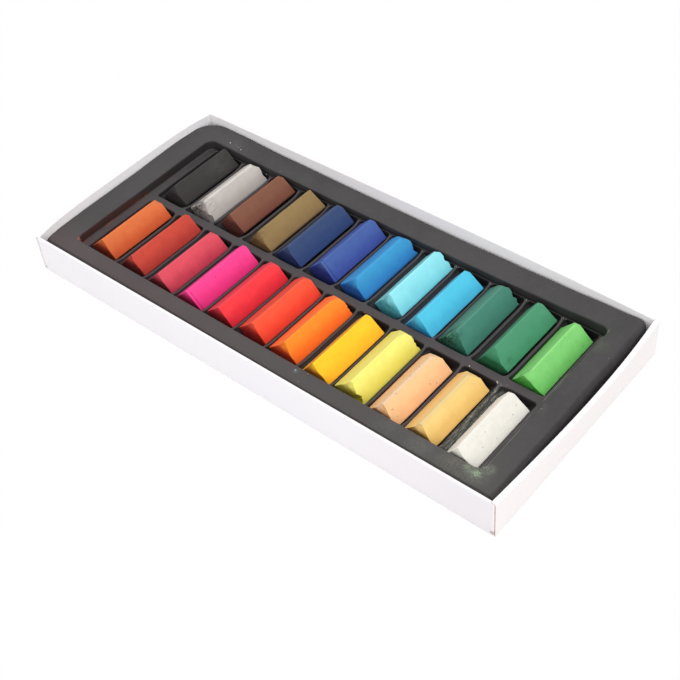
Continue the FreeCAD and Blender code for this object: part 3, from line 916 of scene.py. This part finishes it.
STICKS = [
    Stick("burnt_orange", 1, roll=2, shift=(-0.75, 0.0),
          near=((0.7, 2.6, -0.3),), far=((5.2, 2.4, 0.02),),
          left=(232, 124, 64), low=(196, 72, 34)),
    Stick("red_brown", 2, roll=-3, shift=(0.4, 0.0),
          far=((3.0, 1.4, 0.1),), chips=((-1, 0.2, 6.4, 1.4, 0.8),), low=(150, 40, 40)),
    Stick("crimson", 3, roll=-2, shift=(0.5, 0.0),
          near=((0.6, 2.0, -0.3),), far=((4.6, 2.2, 0.0),),
          left=(214, 76, 96), low=(150, 36, 60)),
    Stick("magenta", 4, shift=(0.35, 0.0), far=((2.4, 1.1, 0.1),), edge=0.3,
          rings=((-15.3, 0.2),), dirt=(150, 14, 78), left=(250, 62, 138), low=(206, 24, 104)),
    Stick("red", 5, roll=4, far=((4.8, 2.2, 0.0),), left=(216, 60, 80), low=(204, 24, 46)),
    Stick("vermilion", 6, roll=4.5, shift=(-0.15, 0.0),
          near=((0.8, 2.6, -0.4),), far=((3.6, 2.2, 0.15),), ridge_wear=0.4,
          scores=(((-1.5, 1.0, 5.6), (-1.5, 13.0, 5.6), 0.35, 0.1),
                  ((-2.2, -11.0, 4.9), (-1.4, -3.0, 5.7), 0.3, 0.05)),
          dirt=(120, 44, 48), left=(218, 76, 60), low=(224, 46, 36)),
    Stick("orange", 7, roll=5, shift=(0.1, 0.0),
          near=((1.5, 2.6, -0.35),), far=((6.0, 2.8, 0.0),), rough=(1.0, 2.2),
          chips=((1, 4.4, 2.4, 0.8, 0.6), (1, 5.4, 1.4, 0.7, 0.5)),
          dirt=(200, 70, 30), left=(252, 108, 54), low=(252, 84, 22)),
    Stick("amber", 8, roll=-6, shift=(0.6, 0.0),
          near=((0.6, 2.4, 0.0),), far=((1.8, 1.2, 0.0),),
          dirt=(210, 130, 40), left=(206, 146, 42), low=(250, 160, 28)),
    Stick("lemon", 9, roll=6, shift=(-0.25, 0.0),
          near=((1.6, 2.4, -0.3),), far=((6.0, 2.8, 0.1),), rough=(1.6, 2.0), ridge_wear=0.5,
          chips=((1, 3.9, 2.9, 0.7, 0.5), (1, 5.2, 1.6, 0.8, 0.6), (-1, 4.4, 1.6, 2.0, 1.4)),
          dirt=(150, 140, 70), ridge=(244, 232, 120), left=(230, 218, 120), low=(222, 206, 70)),
    Stick("peach", 10, roll=-1, shift=(-0.1, 0.0),
          near=((1.8, 3.2, -0.3),), far=((3.6, 3.0, 0.1),), rough=(2.4, 1.6), ridge_wear=0.6,
          bands=((-1.0, 1.2, 1.0),), pits_share=0.3,
          dirt=(150, 110, 80), ridge=(224, 196, 168), left=(238, 192, 146),
          low=(238, 172, 122)),
    Stick("naples_yellow", 11, roll=1, shift=(-0.6, 0.0),
          near=((1.6, 2.6, -0.4),), far=((3.8, 3.2, 0.0),), rough=(1.6, 1.4), ridge_wear=0.6,
          bands=((-1.1, 0.9, 1.0),), pits_share=0.01,
          dirt=(178, 150, 96), ridge=(214, 196, 146), left=(242, 200, 132), low=(226, 176, 90)),
    Stick("white", 12, roll=-10, shift=(0.5, 0.0),
          near=((0.9, 2.0, -0.5),), far=((1.8, 1.4, 0.0),), ridge_wear=0.14,
          smudges=(((0.0, 0.0, 5.0), 40.0, 0.2),), dirt_share=0.2, pits_share=0.2,
          dirt=(208, 210, 200), ridge=(238, 234, 225), left=(240, 234, 229),
          low=(236, 233, 224)),
    Stick("black", 13, roll=-5, shift=(0.0, 0.3),
          near=((1.6, 2.8, 0.0),), far=((1.0, 1.6, 0.0),), rough=(1.4, 2.4), edge=0.9,
          chips=((1, -2.4, 4.2, 1.2, 0.6), (1, 4.6, 2.2, 1.2, 0.6)),
          smudges=(((2.5, 8.0, 5.0), 9.0, 0.5),),
          dirt=(82, 78, 80), ridge=(70, 66, 66), left=(56, 53, 54), low=(54, 50, 50)),
    Stick("light_grey", 14, roll=6, shift=(-0.2, 0.0),
          near=((2.2, 3.2, -0.3),), far=((3.4, 3.0, 0.2),), rough=(2.4, 2.2), edge=0.7,
          ridge_wear=0.5, chips=((1, 4.4, 2.2, 1.6, 1.0), (-1, 5.2, 1.2, 2.0, 1.2)),
          smudges=(((-3.2, -15.6, 3.2), 6.4, 1.7), ((2.4, -13.0, 3.6), 4.0, 0.4)),
          dirt=(58, 56, 54), ridge=(215, 209, 203), left=(206, 200, 193), low=(176, 168, 164)),
    Stick("brown", 15, roll=-7, shift=(-0.3, 0.0),
          near=((0.6, 2.4, 0.0),), far=((1.8, 1.6, 0.0),), edge=0.6,
          ridge=(146, 92, 72), left=(116, 76, 60), low=(108, 58, 48)),
    Stick("olive", 16, roll=-12, shift=(0.8, 0.0),
          near=((2.4, 3.2, -0.4),), rough=(2.0, 1.2), edge=0.7, ridge_wear=0.5,
          smudges=(((-3.0, -14.6, 3.4), 6.0, 0.9),),
          dirt=(84, 66, 38), ridge=(150, 128, 84), left=(92, 76, 54), low=(126, 98, 62)),
    Stick("navy", 17, roll=-1.5, shift=(-0.6, 0.0),
          near=((0.8, 2.4, 0.0),), far=((3.6, 1.8, 0.0),), ridge_wear=0.4,
          ridge=(62, 82, 118), left=(64, 80, 108), low=(36, 60, 110)),
    Stick("ultramarine", 18, roll=1, shift=(-0.3, 0.0), far=((2.0, 1.4, 0.0),),
          rings=((-14.7, 0.2),), dirt=(24, 28, 96), left=(60, 86, 160), low=(52, 66, 150)),
    Stick("cobalt_blue", 19, roll=6, shift=(-0.4, 0.0),
          near=((2.4, 3.6, 0.3),), far=((4.4, 3.4, 0.25),), rough=(2.0, 2.0), edge=1.2,
          ridge_wear=0.35, chips=((1, 4.8, 1.8, 2.2, 1.6),),
          dirt=(36, 90, 150), left=(56, 142, 202), low=(40, 112, 190)),
    Stick("turquoise", 20, roll=-5, shift=(0.5, 0.0),
          near=((2.0, 4.0, -0.4),), far=((2.4, 1.8, 0.3),), rough=(2.6, 2.6), edge=0.7,
          chips=((1, 3.4, 3.4, 1.4, 0.9), (1, 5.8, 1.0, 1.4, 0.9)),
          dirt=(60, 120, 130), ridge=(166, 236, 240), left=(118, 184, 190),
          low=(104, 196, 208)),
    Stick("sky_blue", 21, roll=-8, shift=(0.5, 0.0),
          near=((1.4, 3.2, -0.5),), far=((1.8, 1.4, 0.0),), rough=(1.6, 1.0), ridge_wear=0.2,
          left=(94, 156, 176), low=(56, 162, 208)),
    Stick("dark_viridian", 22, roll=1, shift=(-0.5, 0.0),
          near=((2.6, 3.8, -0.4),), far=((3.0, 2.4, 0.2),), rough=(2.8, 2.6), ridge_wear=0.15,
          chips=((1, 4.0, 2.8, 1.3, 1.0), (1, 6.2, 0.6, 1.4, 1.0)),
          smudges=(((-3.0, -15.2, 3.0), 6.5, 1.6),),
          dirt=(20, 50, 40), ridge=(90, 148, 128), left=(84, 138, 116), low=(54, 112, 96)),
    Stick("green", 23, roll=-10, shift=(0.3, 0.0),
          near=((3.4, 3.6, -0.2),), far=((1.4, 1.4, 0.0),), rough=(1.8, 1.4), ridge_wear=0.18,
          smudges=(((4.6, -12.0, 2.2), 2.0, 0.8),), dirt_share=0.02,
          dirt=(48, 84, 62), ridge=(82, 156, 118), left=(76, 140, 108), low=(48, 122, 84)),
    Stick("light_green", 24, roll=-3,
          near=((3.2, 3.2, -0.7),), far=((1.6, 1.4, 0.0),), rough=(1.8, 1.6), ridge_wear=0.14,
          scores=(((-5.6, -16.2, 1.2), (-2.4, -13.4, 4.4), 0.4, 0.4),
                  ((-4.6, -16.2, 2.2), (-1.4, -13.0, 5.4), 0.4, 0.4),
                  ((-3.6, -16.2, 3.2), (-0.8, -12.4, 6.0), 0.35, 0.35)),
          dirt_share=0.02, pits_share=0.16,
          dirt=(56, 104, 58), ridge=(146, 220, 132), left=(130, 200, 118), low=(98, 192, 86)),
]

for stick in STICKS:
    build_stick(stick, "stick_" + stick.name)

formed_insert()
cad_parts["card_tray"].data.materials.clear()
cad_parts["card_tray"].data.materials.append(lined_card())

# Crumbs: name, colour, places, size, seed
crumbs("green_crumbs", colour(150, 176, 138),
       [(98.6, -41.9, DECK_TOP), (99.4, -41.4, DECK_TOP), (99.0, -42.4, DECK_TOP),
        (97.9, -41.5, DECK_TOP), (100.2, -42.0, DECK_TOP)], 0.14, 3)
crumbs("white_crumbs", colour(222, 218, 208),
       [(66.96, -1.4, RIDGE_TOP), (79.4, -1.9, RIDGE_TOP), (-92.4, 42.4, DECK_TOP),
        (-85.5, 41.6, DECK_TOP)], 0.24, 5)
crumbs("grey_crumbs", colour(150, 142, 140),
       [(x + shift, 38.1 + push, RIDGE_TOP) for x in (31.6, 47.9, 64.2, 80.6)
        for shift, push in ((0.2, 0.5), (0.5, -0.1), (-0.2, 0.0), (1.3, 0.4))]
       + [(-100.2, 38.5, RIDGE_TOP), (-97.4, 38.3, RIDGE_TOP), (-81.2, 38.5, RIDGE_TOP),
          (-87.4, 42.0, DECK_TOP), (-68.4, 38.6, RIDGE_TOP), (79.9, -2.5, RIDGE_TOP),
          (83.0, -1.0, RIDGE_TOP), (100.7, -6.4, DECK_TOP)], 0.2, 6)
crumbs("orange_crumbs", colour(226, 110, 60),
       [(12.3, -1.4, RIDGE_TOP), (11.4, -1.6, RIDGE_TOP), (24.3, -40.7, DECK_TOP),
        (9.8, -40.8, DECK_TOP), (92.1, -41.0, DECK_TOP), (18.9, -2.0, RIDGE_TOP)], 0.2, 8)
crumbs("pale_blue_crumbs", colour(206, 220, 226), [(19.3, -41.8, DECK_TOP)], 0.24, 9)


# Floor, light and camera

def floor_finish():
    """White floor that shows as plain white and keeps a soft shadow."""
    finish = Finish("white floor")
    camera, glossy, glass = (
        finish.node("ShaderNodeLightPath", {}, {}, ray)
        for ray in ("Is Camera Ray", "Is Glossy Ray", "Is Transmission Ray"))
    cloth = finish.node("ShaderNodeBsdfDiffuse", {}, {"Color": (0.86, 0.86, 0.86, 1)})
    white = finish.node("ShaderNodeEmission", {}, {"Color": (1, 1, 1, 1), "Strength": 1.0})
    seen = (camera + glossy + glass).least(1.0) * 0.98
    both = finish.node("ShaderNodeMixShader", {}, {0: seen, 1: cloth, 2: white})
    finish.tree.links.new(both.socket, finish.output.inputs["Surface"])
    return finish.material


def make_floor():
    reach, steps, level = 6.0, 12, -0.00005
    mesh = bmesh.new()
    grid = [[mesh.verts.new((reach * (2 * i / steps - 1), reach * (2 * j / steps - 1), level))
             for j in range(steps + 1)] for i in range(steps + 1)]
    for i in range(steps):
        for j in range(steps):
            mesh.faces.new((grid[i][j], grid[i + 1][j], grid[i + 1][j + 1], grid[i][j + 1]))
    floor = place_piece(mesh, "floor", "floor", floor_finish(), False)


def soft_lamp(name, place, size, watts):
    """A rectangular lamp that points at the middle of the box."""
    data = bpy.data.lights.new(name, "AREA")
    data.shape = "RECTANGLE"
    data.size, data.size_y = size
    data.energy = watts
    lamp = bpy.data.objects.new(name, data)
    lamp.location = place
    lamp.rotation_mode = "QUATERNION"
    lamp.rotation_quaternion = (-Vector(place)).to_track_quat("-Z", "Y")
    bpy.context.scene.collection.objects.link(lamp)


def white_tent():
    """Even light from all round, and plain white behind the object."""
    world = bpy.data.worlds.new("white tent")
    bpy.context.scene.world = world
    world.use_nodes = True
    tree = world.node_tree
    tree.nodes.clear()
    sky, seen = (tree.nodes.new("ShaderNodeBackground") for _ in range(2))
    for shader, strength in ((sky, 0.8), (seen, 1.0)):
        shader.inputs["Color"].default_value = (1.0, 1.0, 1.0, 1.0)
        shader.inputs["Strength"].default_value = strength
    path = tree.nodes.new("ShaderNodeLightPath")
    blend = tree.nodes.new("ShaderNodeMixShader")
    out = tree.nodes.new("ShaderNodeOutputWorld")
    tree.links.new(path.outputs["Is Camera Ray"], blend.inputs[0])
    tree.links.new(sky.outputs[0], blend.inputs[1])
    tree.links.new(seen.outputs[0], blend.inputs[2])
    tree.links.new(blend.outputs[0], out.inputs["Surface"])


def make_camera():
    """The photograph's view of the box, 680 by 680."""
    focal, size = 1274.698, 680
    turn, rise, roll = (math.radians(v) for v in (44.389, 45.643, -6.307))
    shift_right, shift_up, away = 3.042, -12.307, 498.979
    back = Vector((math.sin(turn) * math.cos(rise), -math.cos(turn) * math.cos(rise),
                   math.sin(rise)))
    right = Vector((math.cos(turn), math.sin(turn), 0))
    up = back.cross(right)
    right_rolled = right * math.cos(roll) + up * math.sin(roll)
    up_rolled = up * math.cos(roll) - right * math.sin(roll)
    place = back * away + right_rolled * shift_right + up_rolled * shift_up
    data = bpy.data.cameras.new("camera")
    data.sensor_width = 36.0
    data.lens = focal / size * data.sensor_width
    data.clip_start, data.clip_end = 0.01, 20.0
    camera = bpy.data.objects.new("camera", data)
    axes = Matrix((right_rolled, up_rolled, back)).transposed()
    camera.matrix_world = Matrix.Translation(place * MM) @ axes.to_4x4()
    bpy.context.scene.collection.objects.link(camera)
    bpy.context.scene.camera = camera


make_floor()
white_tent()
soft_lamp("front_softbox", (0.75, -0.95, 0.72), (0.9, 0.7), 5.1)
soft_lamp("overhead_softbox", (0.1, 0.1, 1.2), (0.9, 0.9), 4.0)
make_camera()
bpy.context.scene.view_settings.view_transform = "Standard"
